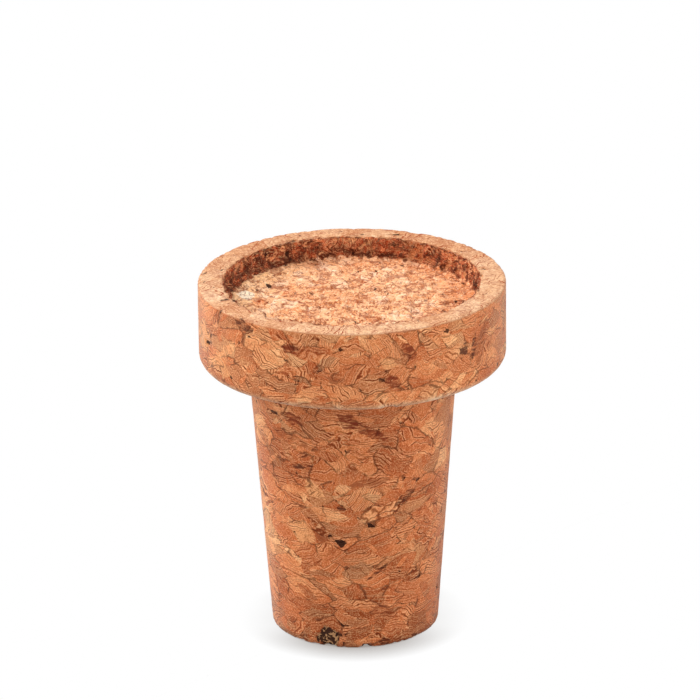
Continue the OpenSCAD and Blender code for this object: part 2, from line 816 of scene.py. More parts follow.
@dataclass(frozen=True)
class GrainReading:
    """What the grain is at a place: numbers from 0 to 1, and the fibre centred on 0."""

    tone: Field
    grey: Field
    line: Field
    flank: Field
    fibre: Field
    edge: Field
    gap: Field


@dataclass(frozen=True)
class CrumbReading:
    """What a torn face is at a place: numbers from 0 to 1."""

    tone: Field
    lift: Field
    gap: Field


class GrainReader:
    """Reads the pressed grain at any place, for the relief and for the colour alike."""

    def __init__(self, sheet: NodeSheet, place: Field, grain: CorkGrain) -> None:
        """Take a place and bend it as the pressing bent the granules.

        Args:
            sheet: The node tree to write on.
            place: The place in millimetres.
            grain: How the granules are pressed.
        """
        self.sheet = sheet
        self.place = place
        self.grain = grain
        slow = sheet.vector("MULTIPLY", sheet.swirl(place, grain.slow), grain.slow_bend)
        self.wave = sheet.swirl(place, grain.wave)
        self.bent = place + slow + self.wave * grain.wave_bend
        self.flow = self.bent + sheet.swirl(place, grain.flow) * grain.flow_bend
        self.fray = self.wave + sheet.swirl(place, grain.fray) * grain.fray_bend
        self.patches = sheet.noise(place, grain.patches)
        self.holes = sheet.noise(place, grain.holes)

    def lines(self, height: Field, luck: Field) -> tuple[Field, Field, Field]:
        """Growth lines across a granule.

        Args:
            height: Distance across the granule's layers.
            luck: A number of the granule's own, which shifts its lines.

        Returns:
            1 on a line and 0 between lines, 1 on the pale flanks of a line, and the fibre between them.
        """
        sheet, lines = self.sheet, self.grain.lines
        steps = height / lines.gap + luck * lines.shift
        along = steps + sheet.string_noise(steps * lines.wander_pace) * lines.wander
        number = sheet.maths("FLOOR", along)
        offset = sheet.maths("ABSOLUTE", along - number - 0.5)
        beside = sheet.maths("ABSOLUTE", offset - lines.flank_at)
        shown = sheet.ramp(sheet.chance(number), lines.kept) * sheet.ramp(self.holes, lines.breaks)
        line = sheet.ramp(offset, lines.width) * shown
        flank = sheet.ramp(beside, lines.flank_width) * shown
        return line, flank, sheet.string_noise(steps * lines.fibre_pace)

    def flakes(self, layer: FlakeLayer) -> tuple[Field, Field, Field]:
        """One layer of flakes.

        Args:
            layer: The layer's sizes.

        Returns:
            1 inside a flake and 0 outside, 0 in a flake's middle to 1 at its rim, and its own dice.
        """
        sheet = self.sheet
        rough = self.place + self.wave * (layer.thick * layer.raggedness)
        spot = sheet.vector("DIVIDE", rough, layer.cell) + layer.shift
        cell = sheet.cells(spot)
        luck = sheet.out(cell, "Color")
        _, second, third = sheet.dice(luck)
        away = sheet.vector("MULTIPLY", spot - sheet.out(cell, "Position"), layer.cell)
        spread = 2 * layer.tilt
        lean = sheet.vector("MULTIPLY_ADD", luck - 0.5, (spread, spread, 0.0), UP)
        # Height over the flake's middle plane, and distance from its axis squared
        height = sheet.vector("DOT_PRODUCT", away, sheet.vector("NORMALIZE", lean))
        across = sheet.vector("DOT_PRODUCT", away, away) - height * height
        thick = (second + 0.5) * layer.thick
        fill = sheet.maths("ABSOLUTE", height) / thick + across / (layer.reach * layer.reach)
        present = sheet.maths("LESS_THAN", third, layer.share)
        return sheet.maths("LESS_THAN", fill, 1.0) * present, fill, luck

    def read(self, facing: Field) -> GrainReading:
        """The whole grain: a mosaic of granules with flakes laid over it.

        Args:
            facing: Direction out of the cut face, so that its growth lines stay equally wide.

        Returns:
            The grain at the place.
        """
        sheet, grain = self.sheet, self.grain
        spot = sheet.vector("DIVIDE", self.bent, grain.cell)
        luck = sheet.out(sheet.cells(spot), "Color")
        border = sheet.out(sheet.cells(spot, "DISTANCE_TO_EDGE"), "Distance")
        edge, gap = sheet.ramp(border, grain.seam_edge), sheet.ramp(border, grain.seam_gap)
        for layer in grain.layers:
            inside, fill, own = self.flakes(layer)
            luck = sheet.tint(inside, luck, own)
            edge = sheet.blend(inside, edge, sheet.ramp(fill, grain.flake_edge))
            gap = sheet.blend(inside, gap, sheet.ramp(fill, grain.flake_gap))
        first, second, third = sheet.dice(luck)
        heading = sheet.vector("NORMALIZE", sheet.vector("MULTIPLY", luck - 0.5, grain.heading))
        heading = heading - facing * (sheet.vector("DOT_PRODUCT", heading, facing) * grain.flattening)
        heading = sheet.vector("NORMALIZE", heading)
        line, flank, fibre = self.lines(sheet.vector("DOT_PRODUCT", self.flow, heading), third)
        faintest = grain.lines.faintest
        bold = sheet.ramp(sheet.chance(first + second), grain.lines.boldness) * (1 - faintest) + faintest
        return GrainReading(
            tone=first,
            grey=second,
            line=line * bold,
            flank=flank * bold,
            fibre=fibre,
            edge=edge * sheet.ramp(self.patches, grain.edge_patches),
            gap=gap * sheet.ramp(self.holes, grain.gap_patches),
        )

    def crumbs(self, size: float) -> CrumbReading:
        """The crumbs that a torn face breaks into.

        Args:
            size: How large a crumb is.

        Returns:
            The torn face at the place.
        """
        sheet = self.sheet
        spot = (self.place + self.fray * self.grain.crumb_bend) / size
        first, second, _ = sheet.dice(sheet.out(sheet.cells(spot), "Color"))
        border = sheet.out(sheet.cells(spot, "DISTANCE_TO_EDGE"), "Distance")
        return CrumbReading(first, second, sheet.ramp(border, self.grain.crumb_gap))

    def pits(self, pits: PitSet) -> Field:
        """Small holes between granules.

        Args:
            pits: Their sizes.

        Returns:
            1 inside a pit and 0 outside.
        """
        sheet = self.sheet
        spot = (self.place + self.fray * (pits.radius * pits.raggedness)) / pits.spacing + pits.shift
        made = sheet.cells(spot)
        first, second, _ = sheet.dice(sheet.out(made, "Color"))
        radius = (second * (1 - pits.smallest) + pits.smallest) * (pits.radius / pits.spacing)
        inside = sheet.ramp(sheet.out(made, "Distance") / radius, pits.edge)
        return inside * sheet.maths("LESS_THAN", first, pits.share)

    def streaks(self) -> Field:
        """Level streaks, as the pressing leaves them in a dark piece.

        Returns:
            A number up to 1 in the streaks.
        """
        sheet, grain = self.sheet, self.grain
        pressed = sheet.vector("MULTIPLY", self.place + self.wave * grain.streak_bend, grain.streak_press)
        streak = sheet.ramp(sheet.noise(pressed, grain.streaks), grain.streak_step)
        return streak * (1 - grain.streak_least) + grain.streak_least

    def mark(self, mark: Mark, sizes: StopperSizes) -> Field:
        """The lens that one mark fills.

        Args:
            mark: The mark.
            sizes: The stopper's sizes.

        Returns:
            1 inside the mark and 0 outside, or 1 along its outline for a ring.
        """
        sheet, shape = self.sheet, self.grain.mark_shape
        middle, along, across, out = mark.axes(sizes)
        fray = shape.stubby_fray if mark.length < shape.stubby * mark.width else shape.slim_fray
        away = self.place + self.fray * min(shape.most_fray, mark.width * fray) - tuple(middle)
        u = sheet.vector("DOT_PRODUCT", away, tuple(along * (2 / mark.length)))
        v = sheet.vector("DOT_PRODUCT", away, tuple(across * (2 / mark.width)))
        w = sheet.vector("DOT_PRODUCT", away, tuple(out / shape.reach))
        # Below 1 inside a lens with pointed ends
        fill = u * u + sheet.maths("ABSOLUTE", v) + w * w
        if mark.kind.value.ring:
            outline = sheet.ramp(sheet.maths("ABSOLUTE", fill - 1.0), shape.ring)
            return outline * sheet.ramp(self.holes, shape.ring_breaks)
        return sheet.ramp(fill, shape.edge)


# The pits of the relief and their dark colour share these, so that they fall together
PIT_SPACING = 1.7
PIT_SHARE = 0.08
PIT_SHIFT: Triple = (4.1, 7.7, 2.3)


@dataclass(frozen=True)
class TornRelief:
    """How a torn face breaks up: the shares of its depth that crumbs, gaps and swells take."""

    crumb: float
    fine_crumb: float
    crumb_gap: float
    fine_gap: float
    swell: float


@dataclass(frozen=True)
class CorkRelief:
    """How the cork's surface is worked, with depths in millimetres."""

    granule: float = 0.02
    gap: float = 0.10
    pit: float = 0.25
    wall_tear: float = 0.50
    floor_tear: float = 0.34
    bank: float = 0.40
    chip: float = 0.35
    outer_chip: float = 0.3
    chips: Cloud = Cloud(1.6, 2.0)
    chip_step: Step = Step(0.46, 0.66)
    swells: Cloud = Cloud(1.1, 3.0, 0.62)
    pits: PitSet = PitSet(PIT_SPACING, radius=0.20, share=PIT_SHARE, shift=PIT_SHIFT)
    wall: TornRelief = TornRelief(crumb=0.5, fine_crumb=0.5, crumb_gap=0.0, fine_gap=0.25, swell=1.0)
    floor: TornRelief = TornRelief(crumb=0.7, fine_crumb=0.4, crumb_gap=0.3, fine_gap=0.0, swell=0.8)

    def depths(self) -> dict[str, float]:
        """The depths as the turning tree's inputs name them.

        Returns:
            Millimetres by input.
        """
        return {
            "Granule Relief": self.granule,
            "Gap Depth": self.gap,
            "Pit Depth": self.pit,
            "Wall Tear": self.wall_tear,
            "Floor Tear": self.floor_tear,
            "Bank Height": self.bank,
            "Edge Chip": self.chip,
        }


@dataclass(frozen=True)
class Accent:
    """A colour that only some places take: how far it covers them, and the step that picks them."""

    colour: Colour
    cover: float
    step: Step


@dataclass(frozen=True)
class TornTones:
    """Colours of a torn face, and what its tone is made of."""

    tones: Stops
    base: float
    fine_crumb: float
    crumb: float
    grain: float = 0.5


@dataclass(frozen=True)
class CorkFinish:
    """Colours of bare pressed cork, how strongly its details show, and the light and shade painted into it.
    """

    tones: Stops = (
        (0.00, srgb(140, 64, 28)),
        (0.20, srgb(173, 85, 44)),
        (0.45, srgb(194, 104, 58)),
        (0.65, srgb(206, 121, 72)),
        (0.85, srgb(220, 146, 94)),
        (1.00, srgb(236, 175, 122)),
    )
    sawn_tones: Stops = (
        (0.00, srgb(170, 104, 62)),
        (0.25, srgb(194, 139, 98)),
        (0.60, srgb(205, 158, 119)),
        (1.00, srgb(226, 192, 158)),
    )
    floor: TornTones = TornTones(
        tones=(
            (0.00, srgb(194, 106, 60)),
            (0.30, srgb(222, 150, 100)),
            (0.60, srgb(236, 174, 128)),
            (1.00, srgb(249, 216, 186)),
        ),
        base=0.26,
        fine_crumb=0.26,
        crumb=0.36,
    )
    wall: TornTones = TornTones(
        tones=(
            (0.00, srgb(82, 15, 2)),
            (0.35, srgb(134, 42, 14)),
            (0.65, srgb(172, 67, 33)),
            (1.00, srgb(210, 116, 72)),
        ),
        base=0.10,
        fine_crumb=0.9,
        crumb=0.2,
    )

    # What the tone of the grain is made of
    granule: ByFace = ByFace(0.74, 0.44, 0.74)
    slow: Cloud = Cloud(0.24, 1.0)
    slow_share: ByFace = ByFace(1.1, 0.5, 0.5)
    mottle: Cloud = Cloud(1.6, 3.0, 0.65)
    mottle_share: float = 0.5
    fibre_share: float = 0.4
    # Painted shade towards the plug's foot and on the rim's far side
    low_painted_shade: float = 0.38
    far_painted_shade: float = 0.16
    # A painted highlight along the head's rounded lower edge
    low_edge_painted_highlight: float = 0.85
    grey: Accent = Accent(srgb(150, 98, 64), cover=0.5, step=Step(0.74, 0.90))
    rust: Accent = Accent(srgb(172, 82, 40), cover=0.35, step=Step(0.28, 0.12))

    # The torn recess, with painted light and shade from side to side
    bank_painted_light: float = 0.15
    wall_left_painted_shade: float = 0.14
    wall_right_painted_light: float = 0.12
    floor_right_painted_shade: float = 0.18
    # The glow colour is painted warm shade on the floor near the recess's wall
    glow: Colour = srgb(224, 126, 68)
    painted_warm_shade_cover: float = 0.10
    painted_warm_shade_right_cover: float = 0.34
    # The sunny colour is a painted pool of light on the floor's left
    painted_light_tint: Colour = srgb(255, 208, 152)
    painted_light_cover: float = 0.55

    # Dust of the cut: the dark dust is negative, because it shows where the light dust is thin
    dust: Cloud = Cloud(1.0, 2.0, 0.75)
    dust_scale: ByFace = ByFace(8.0, 4.5, 4.5)
    light_dust: ByFace = ByFace(2.8, 2.1, 4.3)
    dark_dust: ByFace = ByFace(-3.4, -2.2, -1.2)
    chaff: Colour = srgb(255, 220, 182)
    deep: Colour = srgb(120, 48, 12)

    # Growth lines and the seams between granules
    line: Colour = srgb(98, 34, 6)
    sawn_line: Colour = srgb(140, 52, 6)
    sawn_line_step: Step = Step(0.25, 0.80)
    line_cover: ByFace = ByFace(0.95, 0.95, 0.50)
    flank: Colour = srgb(240, 184, 132)
    flank_cover: float = 0.6
    edge_cover: ByFace = ByFace(0.66, 0.396, 0.33, 0.33)

    # Splits and strokes, and painted shade in the recess's corner and along the foot's edge
    crack: Colour = srgb(70, 28, 12)
    tear: Colour = srgb(132, 48, 15)
    split_cover: ByFace = ByFace(0.0, 0.30, 0.66, 0.75)
    split_patches: Step = Step(0.55, 0.66)
    split_more_on_floor: float = 0.06
    fine_split_patches: Step = Step(0.46, 0.58)
    strokes: Cloud = Cloud(2.4, 2.0, 0.65)
    stroke_bend: float = 0.4
    stroke_step: Step = Step(0.615, 0.66)
    stroke_cover: ByFace = ByFace(0.0, 0.34, 0.85)
    # Painted shade in the corner where the recess's wall meets its floor
    painted_corner_shade: Cloud = Cloud(1.3, 2.0)
    painted_corner_shade_step: Step = Step(0.50, 0.60)
    painted_corner_shade_cover: float = 0.80
    # Painted shade along the plug's foot edge
    foot_painted_shade_cover: float = 0.35

    # Holes, and the flecks in the bark
    pits: PitSet = PitSet(PIT_SPACING, radius=0.17, share=PIT_SHARE, shift=PIT_SHIFT)
    pit: Colour = srgb(48, 19, 9)
    pit_cover: float = 0.90
    pores: PitSet = PitSet(spacing=0.8, radius=0.10, share=0.22, shift=(1.6, 9.2, 6.4))
    specks: PitSet = PitSet(spacing=1.0, radius=0.16, share=0.20, shift=(8.3, 2.9, 5.5))
    pore: Colour = srgb(104, 38, 12)
    pore_cover: float = 0.85
    flecks: Cloud = Cloud(2.6, 2.0)
    fleck_bend: float = 0.4
    fleck: Accent = Accent(srgb(184, 138, 96), cover=0.8, step=Step(0.54, 0.60))

    # How matte the surface is
    bump_strength: float = 0.6
    bump_depth: float = 0.12
    bump_dust: float = 0.8
    bump_share: ByFace = ByFace(1.0, 1.0, 2.0, 2.0)
    roughness: float = 0.70
    roughness_mottle: float = 0.3
    gloss: float = 0.08
    cut_veil: float = 0.34
    torn_veil: float = 0.06
    veil_tint: Colour = (1.0, 0.95, 0.86, 1.0)
    veil_roughness: float = 0.3
    veil_share: ByFace = ByFace(0.0, 1.0, 1.0, 1.0)


class CorkPainter:
    """Paints the cork on a material's sheet, coat by coat."""

    def __init__(self, sheet: NodeSheet, stopper: "CorkStopper") -> None:
        """Read the grain at the place that is shaded.

        Args:
            sheet: The material's sheet.
            stopper: The piece to paint.
        """
        self.sheet = sheet
        self.look = look = stopper.finish
        self.marks = stopper.marks
        self.sizes = stopper.sizes
        self.place = place = sheet.out(sheet.node("ShaderNodeTexCoord"), "Object") / MM
        self.where = Places(sheet, place, stopper.sizes, stopper.zones)
        self.reader = GrainReader(sheet, place, stopper.grain)
        self.grain = self.reader.read(self.where.facing)
        self.coarse = self.reader.crumbs(stopper.grain.crumb)
        self.fine = self.reader.crumbs(stopper.grain.fine_crumb)
        self.mottle = sheet.noise(place, look.mottle) - 0.5
        self.dust = sheet.noise(place * look.dust_scale.over(self.where), look.dust) - 0.5
        # The sawn tones serve the rim, and the head's lower edge as a painted highlight
        self.pale = self.where.top + self.where.low_edge * look.low_edge_painted_highlight
        self.tone = self.mix_tone()

    def mix_tone(self) -> Field:
        """How dark or pale the grain is, with painted shade low on the plug and on the rim's far side.

        Returns:
            0 for the darkest tone to 1 for the palest.
        """
        look, where = self.look, self.where
        slow = self.sheet.noise(self.place, look.slow) - 0.5
        tone = (self.grain.tone - 0.5) * look.granule.over(where) + slow * look.slow_share.over(where)
        tone = tone + self.mottle * look.mottle_share + self.grain.fibre * look.fibre_share + 0.5
        # Painted shade: the grain darkens towards the plug's foot and on the rim's far side
        return tone - where.low * look.low_painted_shade - where.top * where.far * look.far_painted_shade

    def cut(self) -> Field:
        """Colour of the cut sides and the paler sawn rim, with a painted highlight on the head's lower edge.

        Returns:
            The colour of a cut face.
        """
        sheet, look = self.sheet, self.look
        sides, sawn = sheet.shades(self.tone, look.tones), sheet.shades(self.tone, look.sawn_tones)
        colour = sheet.tint(self.pale, sides, sawn)
        for accent in (look.grey, look.rust):
            share = sheet.ramp(self.grain.grey, accent.step) * accent.cover
            colour = sheet.tint(share * (1.0 - self.pale), colour, accent.colour)
        return colour

    def crumbled(self, face: TornTones) -> Field:
        """Tone of a torn face.

        Args:
            face: What the tone is made of.

        Returns:
            0 for the darkest tone to 1 for the palest.
        """
        crumbs = (self.fine.tone - 0.5) * face.fine_crumb + (self.coarse.tone - 0.5) * face.crumb
        return self.tone * face.grain + crumbs + face.base

    def torn(self) -> Field:
        """Colour of the recess, whose floor and wall are torn instead of cut, with painted light and shade
        from side to side.

        Returns:
            The colour of floor and wall.
        """
        sheet, look, where = self.sheet, self.look, self.where
        # Painted shade on the floor's right and on the wall's left; painted light on the wall's right and on
        # the heap of crumbs
        flat = self.crumbled(look.floor) - where.skirt * where.right * look.floor_right_painted_shade
        steep = self.crumbled(look.wall) + where.bank * look.bank_painted_light
        steep = steep - where.left * look.wall_left_painted_shade + where.right * look.wall_right_painted_light
        # Painted warm shade on the floor near the wall, strongest on the right
        glow = where.skirt * (where.right * look.painted_warm_shade_right_cover + look.painted_warm_shade_cover)
        floor = sheet.tint(glow, sheet.shades(flat, look.floor.tones), look.glow)
        # A painted pool of light on the floor's left, where the wall shades it
        floor = sheet.tint(where.skirt * where.left * look.painted_light_cover, floor, look.painted_light_tint)
        return sheet.tint(where.wall, floor, sheet.shades(steep, look.wall.tones))

    def lay_marks(self, colour: Field, layer: MarkLayer) -> Field:
        """Lay the single marks of one layer.

        Args:
            colour: The colour so far.
            layer: Which of the marks to lay.

        Returns:
            The colour with those marks.
        """
        sheet, reader, look = self.sheet, self.reader, self.look
        streaks: Operand = reader.streaks() if layer is MarkLayer.DUST else 1.0
        for mark in self.marks:
            kind = mark.kind.value
            if kind.layer is not layer:
                continue
            inside = reader.mark(mark, self.sizes)
            colour = sheet.tint(inside * (streaks * kind.cover), colour, kind.colour)
            if mark.kind is MarkKind.BARK:
                specks = sheet.noise(self.place + reader.fray * look.fleck_bend, look.flecks)
                share = inside * sheet.ramp(specks, look.fleck.step) * look.fleck.cover
                colour = sheet.tint(share, colour, look.fleck.colour)
        return colour

    def lay_dust(self, colour: Field) -> Field:
        """Lay the fine dust of the cut, and the pale flanks of the growth lines.

        Args:
            colour: The colour so far.

        Returns:
            The dusted colour.
        """
        sheet, look, where = self.sheet, self.look, self.where
        light = sheet.tint(where.flat, look.flank, look.chaff)
        colour = sheet.tint(self.dust * look.light_dust.over(where), colour, light)
        colour = sheet.tint(self.dust * look.dark_dust.over(where), colour, look.deep)
        return sheet.tint(self.grain.flank * look.flank_cover * (1.0 - self.pale), colour, look.flank)

    def draw_lines(self, colour: Field) -> Field:
        """Draw the growth lines and the seams between granules.

        Args:
            colour: The colour so far.

        Returns:
            The colour with its lines.
        """
        sheet, look, where = self.sheet, self.look, self.where
        line = sheet.blend(where.top, self.grain.line, sheet.ramp(self.grain.line, look.sawn_line_step))
        line_colour = sheet.tint(sheet.maths("MAXIMUM", self.pale, where.floor), look.line, look.sawn_line)
        colour = sheet.tint(line * look.line_cover.over(where), colour, line_colour)
        seam_colour = sheet.tint(where.flat, look.crack, look.sawn_line)
        return sheet.tint(self.grain.edge * look.edge_cover.over(where), colour, seam_colour)

    def draw_tears(self, colour: Field) -> Field:
        """Draw the splits and strokes of the torn faces, the painted shade in the corner at the wall's foot,
        and the painted shade along the plug's foot.

        Args:
            colour: The colour so far.

        Returns:
            The colour with its tears.
        """
        sheet, look, where, reader = self.sheet, self.look, self.where, self.reader
        patches = reader.patches + where.floor * look.split_more_on_floor
        coarse = self.coarse.gap * sheet.ramp(patches, look.split_patches)
        fine = self.fine.gap * sheet.ramp(reader.holes, look.fine_split_patches)
        splits = sheet.maths("MAXIMUM", coarse, fine) * look.split_cover.over(where)
        colour = sheet.tint(splits, colour, sheet.tint(where.wall, look.tear, look.crack))
        bent = self.place + reader.wave * look.stroke_bend
        strokes = sheet.ramp(sheet.noise(bent, look.strokes), look.stroke_step)
        colour = sheet.tint(strokes * look.stroke_cover.over(where), colour, look.tear)
        # Painted shade: dark spots in the corner at the wall's foot
        painted_corner_shade = where.nook * where.wall * sheet.ramp(sheet.noise(self.place, look.painted_corner_shade), look.painted_corner_shade_step)
        colour = sheet.tint(painted_corner_shade * look.painted_corner_shade_cover, colour, look.crack)
        # Painted shade along the plug's foot edge
        return sheet.tint(where.foot_edge * look.foot_painted_shade_cover, colour, look.crack)

    def draw_holes(self, colour: Field) -> Field:
        """Draw the pores, pits and gaps.

        Args:
            colour: The colour so far.

        Returns:
            The colour with its holes.
        """
        sheet, look, reader = self.sheet, self.look, self.reader
        pores = sheet.maths("MAXIMUM", reader.pits(look.pores), reader.pits(look.specks) * self.where.top)
        colour = sheet.tint(pores * look.pore_cover, colour, look.pore)
        holes = sheet.maths("MAXIMUM", reader.pits(look.pits), self.grain.gap)
        return sheet.tint(holes * look.pit_cover, colour, look.pit)

    def colour(self) -> Field:
        """All coats of colour, one over the other.

        Returns:
            The cork's colour.
        """
        colour = self.sheet.tint(self.where.torn, self.cut(), self.torn())
        colour = self.lay_marks(colour, MarkLayer.GRAIN)
        colour = self.lay_dust(colour)
        colour = self.lay_marks(colour, MarkLayer.DUST)
        colour = self.draw_lines(colour)
        colour = self.draw_tears(colour)
        colour = self.draw_holes(colour)
        return self.lay_marks(colour, MarkLayer.LINES)

    def paint(self) -> None:
        """Finish the material: matte cork, with a pale veil that is stronger on the cut sides."""
        sheet, look, where = self.sheet, self.look, self.where
        height = (self.mottle + self.dust * look.bump_dust) * look.bump_share.over(where)
        bump = sheet.node(
            "ShaderNodeBump", None,
            {"Strength": look.bump_strength, "Distance": look.bump_depth * MM, "Height": height},
        )
        sockets = {
            "Base Color": self.colour(),
            "Roughness": self.mottle * look.roughness_mottle + look.roughness,
            "Specular IOR Level": look.gloss,
            "Sheen Tint": look.veil_tint,
            "Sheen Roughness": look.veil_roughness,
            "Normal": sheet.out(bump),
        }
        cut, torn = (
            sheet.node("ShaderNodeBsdfPrincipled", None, sockets | {"Sheen Weight": veil})
            for veil in (look.cut_veil, look.torn_veil)
        )
        share = look.veil_share.over(where)
        mixed = sheet.node("ShaderNodeMixShader", None, {0: share, 1: sheet.out(cut), 2: sheet.out(torn)})
        sheet.node("ShaderNodeOutputMaterial", None, {"Surface": sheet.out(mixed)})


@dataclass(frozen=True)
class Corner:
    """A corner of the turned section and how finely the stretch that leads to it is divided."""

    r: float
    z: float
    radius: float
    arc_steps: int
    step: float


@dataclass
class CorkStopper:
    """The stopper: one turned piece of pressed cork."""

    sizes: StopperSizes = field(default_factory=StopperSizes.from_frame)
    zones: FaceZones = FaceZones()
    grain: CorkGrain = CorkGrain()
    relief: CorkRelief = CorkRelief()
    finish: CorkFinish = CorkFinish()
    marks: tuple[Mark, ...] = MARKS
    steps_around: int = 360
    floor_step: float = 0.2
    seam_reach: float = 0.02
    double_reach: float = 0.005

    def section(self) -> list[tuple[float, float]]:
        """The turned half section as a row of points.

        Returns:
            Radius and height of each point, from the foot's middle round to the recess's middle.
        """
        s = self.sizes
        corners = (
            Corner(s.plug_foot_r, 0.0, s.foot_round, arc_steps=3, step=0.9),
            Corner(s.plug_top_r, s.shoulder_z, s.shoulder_fillet, arc_steps=3, step=0.3),
            Corner(s.head_r, s.shoulder_z, s.head_low_round, arc_steps=5, step=0.5),
            Corner(s.head_r, s.top_z, s.head_top_round, arc_steps=2, step=0.26),
            Corner(s.recess_r, s.top_z, s.mouth_round, arc_steps=2, step=0.18),
            Corner(s.recess_r, s.floor_z, s.recess_cove, arc_steps=5, step=0.10),
        )
        ends = [Vector((0.0, 0.0)), *(Vector((c.r, c.z)) for c in corners), Vector((0.0, s.floor_z))]
        rows = [ends[0]]
        for place, corner in enumerate(corners, start=1):
            # Each corner becomes an arc that is tangent to both its edges
            here = ends[place]
            u = (ends[place - 1] - here).normalized()
            v = (ends[place + 1] - here).normalized()
            half = u.angle(v) / 2
            run = corner.radius / math.tan(half)
            centre = here + (u + v).normalized() * (corner.radius / math.sin(half))
            self.fill(rows, here + u * run, corner.step)
            start = here + u * run - centre
            turn = start.angle_signed(here + v * run - centre)
            for k in range(1, corner.arc_steps + 1):
                swung = start.copy()
                swung.rotate(Matrix.Rotation(-turn * k / corner.arc_steps, 2))
                rows.append(centre + swung)
        self.fill(rows, ends[-1], self.floor_step)
        return [(p.x, p.y) for p in rows]

    @staticmethod
    def fill(rows: list[Vector], end: Vector, step: float) -> None:
        """Carry a row of points on to an end in equal steps.

        Args:
            rows: The points so far.
            end: The last point to add.
            step: About how long a step is.
        """
        start = rows[-1]
        count = max(1, round((end - start).length / step))
        rows.extend(start.lerp(end, k / count) for k in range(1, count + 1))

    def turning(self) -> tuple[bpy.types.NodeTree, dict[str, str]]:
        """The Geometry Nodes tree that turns the section and cuts its relief.

        Returns:
            The tree, and each named input's identifier.
        """
        tree = bpy.data.node_groups.new("turned_cork", "GeometryNodeTree")
        sheet = NodeSheet(tree)
        kinds = {"Section": "NodeSocketGeometry", "Steps Around": "NodeSocketInt"}
        kinds |= {name: "NodeSocketFloat" for name in self.relief.depths()}
        kinds |= {"Finish": "NodeSocketMaterial"}
        names = {
            name: tree.interface.new_socket(name, in_out="INPUT", socket_type=kind).identifier
            for name, kind in kinds.items()
        }
        tree.interface.new_socket("Stopper", in_out="OUTPUT", socket_type="NodeSocketGeometry")
        given = sheet.node("NodeGroupInput")
        section = sheet.out(given, "Section")

        # A grid with a row for each point of the section and a column for each step around
        rows = sheet.out(sheet.node("GeometryNodeAttributeDomainSize", None, {0: section}))
        columns = sheet.out(given, "Steps Around") + 1.0
        grid = sheet.node(
            "GeometryNodeMeshGrid", None,
            {"Size X": 1.0, "Size Y": 1.0, "Vertices X": columns, "Vertices Y": rows},
        )

        # Each row goes to its point, and each column turns about the axis
        here = sheet.out(sheet.node("GeometryNodeInputPosition"))
        across, along, _ = sheet.split(here)
        row = sheet.maths("ROUND", (along + 0.5) * (rows - 1.0))
        point = sheet.node(
            "GeometryNodeSampleIndex", {"data_type": "FLOAT_VECTOR", "domain": "POINT"},
            {"Geometry": section, "Value": here, "Index": row},
        )
        radius, _, height = sheet.split(sheet.out(point))
        turn = (across + 0.5) * math.tau
        spun = sheet.join(
            radius * sheet.maths("COSINE", turn), radius * sheet.maths("SINE", turn), height
        )
        turned = sheet.node("GeometryNodeSetPosition", None, {"Geometry": sheet.out(grid), "Position": spun})
        closed = sheet.node(
            "GeometryNodeMergeByDistance", None,
            {"Geometry": sheet.out(turned), "Distance": self.seam_reach * MM},
        )

        # The relief moves the closed surface along its normal
        normal = sheet.out(sheet.node("GeometryNodeInputNormal"))
        offset = normal * (self.depth(sheet, here / MM, given) * MM)
        cut = sheet.node("GeometryNodeSetPosition", None, {"Geometry": sheet.out(closed), "Offset": offset})
        smooth = sheet.node("GeometryNodeSetShadeSmooth", None, {"Geometry": sheet.out(cut)})
        real = sheet.node("GeometryNodeRealizeInstances", None, {"Geometry": sheet.out(smooth)})
        dressed = sheet.node(
            "GeometryNodeSetMaterial", None,
            {"Geometry": sheet.out(real), "Material": sheet.out(given, "Finish")},
        )
        sheet.node("NodeGroupOutput", None, {0: sheet.out(dressed)})
        return tree, names

    def depth(self, sheet: NodeSheet, place: Field, given: bpy.types.Node) -> Field:
        """How far the cut surface lies from the turned one.

        Args:
            sheet: The Geometry Nodes sheet.
            place: The place in millimetres.
            given: The group's input node.

        Returns:
            Millimetres along the normal, at most 0 on the outer faces.
        """
        relief = self.relief
        reader = GrainReader(sheet, place, self.grain)
        where = Places(sheet, place, self.sizes, self.zones)
        grain = reader.read(where.facing)
        coarse, fine = reader.crumbs(self.grain.crumb), reader.crumbs(self.grain.fine_crumb)
        swell = sheet.noise(place, relief.swells) - 0.5

        skin = (grain.tone - 1.0) * sheet.out(given, "Granule Relief")
        skin = skin - grain.gap * sheet.out(given, "Gap Depth")
        skin = skin - reader.pits(relief.pits) * sheet.out(given, "Pit Depth")
        chip = sheet.ramp(sheet.noise(place, relief.chips), relief.chip_step)
        edges = where.mouth_edge + (where.foot_edge + where.rim_edge) * relief.outer_chip
        depth = skin * (1.0 - where.torn) - edges * chip * sheet.out(given, "Edge Chip")
        for mask, face, tear in (
            (where.wall, relief.wall, "Wall Tear"),
            (where.floor, relief.floor, "Floor Tear"),
        ):
            crumbs = (coarse.lift - 0.5) * face.crumb + (fine.lift - 0.5) * face.fine_crumb
            gaps = coarse.gap * face.crumb_gap + fine.gap * face.fine_gap
            depth = depth + mask * (crumbs - gaps + swell * face.swell) * sheet.out(given, tear)
        depth = depth + where.bank * sheet.out(given, "Bank Height")
        for mark in self.marks:
            if mark.kind.value.depth:
                depth = depth - reader.mark(mark, self.sizes) * mark.kind.value.depth
        return depth

